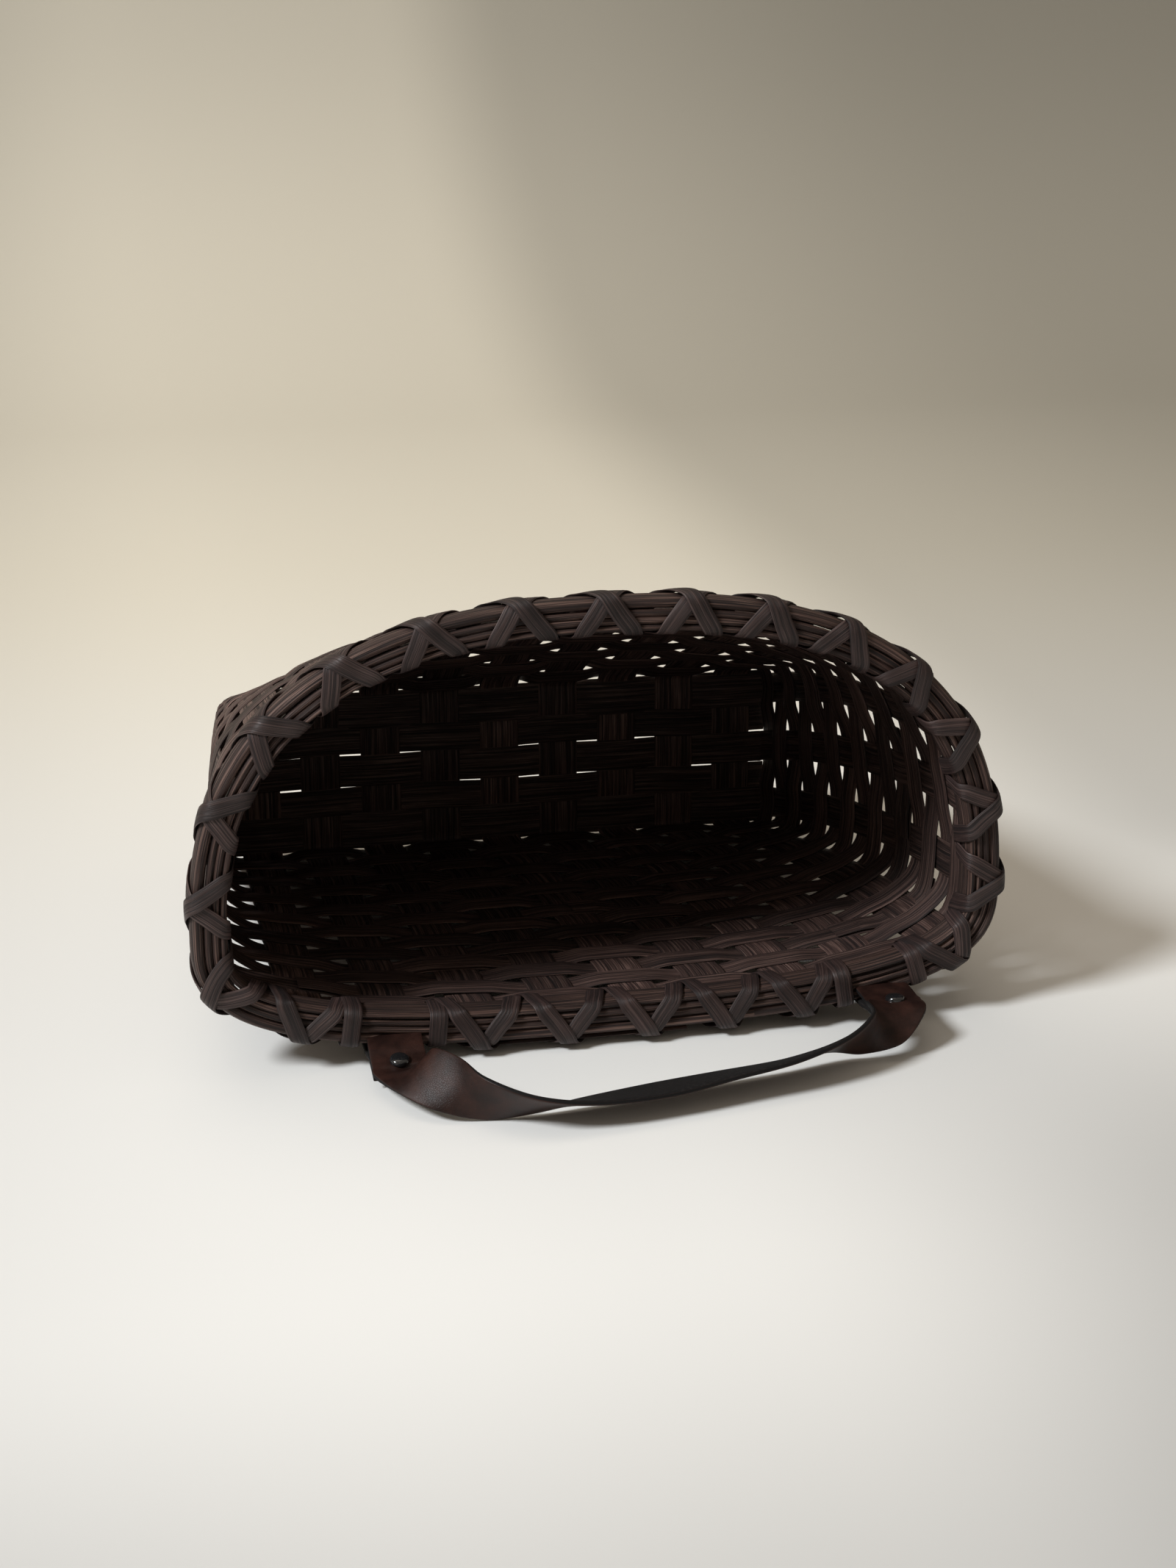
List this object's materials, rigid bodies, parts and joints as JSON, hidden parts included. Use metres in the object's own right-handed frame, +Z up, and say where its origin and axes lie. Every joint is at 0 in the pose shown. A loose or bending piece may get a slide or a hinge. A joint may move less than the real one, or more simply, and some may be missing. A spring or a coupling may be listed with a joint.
{
  "type": "mail basket",
  "caption": "Woven reed wall basket for mail, D-shaped mouth with a lashed double rim, tapering to a flat woven base, with a riveted leather strap that swings on the back rim.",
  "frame": {"origin": "under the middle of the whole part's box, on the plane that the basket lies on with its flat back down", "axes": "+X along the flat back, to the right seen from the mouth; +Y level from the mouth towards the woven base; +Z up from the flat back to the arched front; the basket leans by its rim's thickness, so its own length slopes down a little towards the base"},
  "size_m": [0.3022, 0.286, 0.1696],
  "materials": {
    "reed": "dark stained flat reed, satin",
    "rim_reed": "dark stained half-oval reed, satin with lighter grain",
    "lashing": "dark stained smooth flat reed, satin",
    "leather": "dark brown strap leather, waxed",
    "rivet": "gloss black"
  },
  "bodies": {
    "basket": {"rim_row_weaver": "reed", "weaver_row_01": "reed", "weaver_row_02": "reed", "weaver_row_03": "reed", "weaver_row_04": "reed", "weaver_row_05": "reed", "weaver_row_06": "reed", "weaver_row_07": "reed", "weaver_row_08": "reed", "weaver_row_09": "reed", "weaver_row_10": "reed", "weaver_row_11": "reed", "weaver_row_12": "reed", "weaver_row_13": "reed", "weaver_row_14": "reed", "weaver_row_15": "reed", "cross_stake_1": "reed", "cross_stake_2": "reed", "cross_stake_3": "reed", "cross_stake_4": "reed", "cross_stake_5": "reed", "cross_stake_6": "reed", "cross_stake_7": "reed", "cross_stake_8": "reed", "cross_stake_9": "reed", "side_stake_1": "reed", "side_stake_2": "reed", "side_stake_3": "reed", "base_filler_1": "reed", "base_filler_2": "reed", "outer_rim_strip": "rim_reed", "inner_rim_strip": "rim_reed", "rim_filler_outer": "rim_reed", "rim_filler_inner": "rim_reed", "lashing_front_under": "lashing", "lashing_front_over": "lashing", "lashing_back_under": "lashing", "lashing_back_over": "lashing", "strap_loop_left": "leather", "strap_loop_right": "leather"},
    "handle": {"handle_strap": "leather", "rivet_post_left": "rivet", "rivet_post_right": "rivet", "rivet_cap_left": "rivet", "rivet_cap_right": "rivet"}
  },
  "joints": [
    {"name": "handle_swing", "type": "hinge", "parent": "basket", "child": "handle", "pos_m": [-0.07861, -0.08167, 0.00882], "axis": [-0.9998, -0.0009, -0.0202], "range_deg": [-90, 69]}
  ]
}
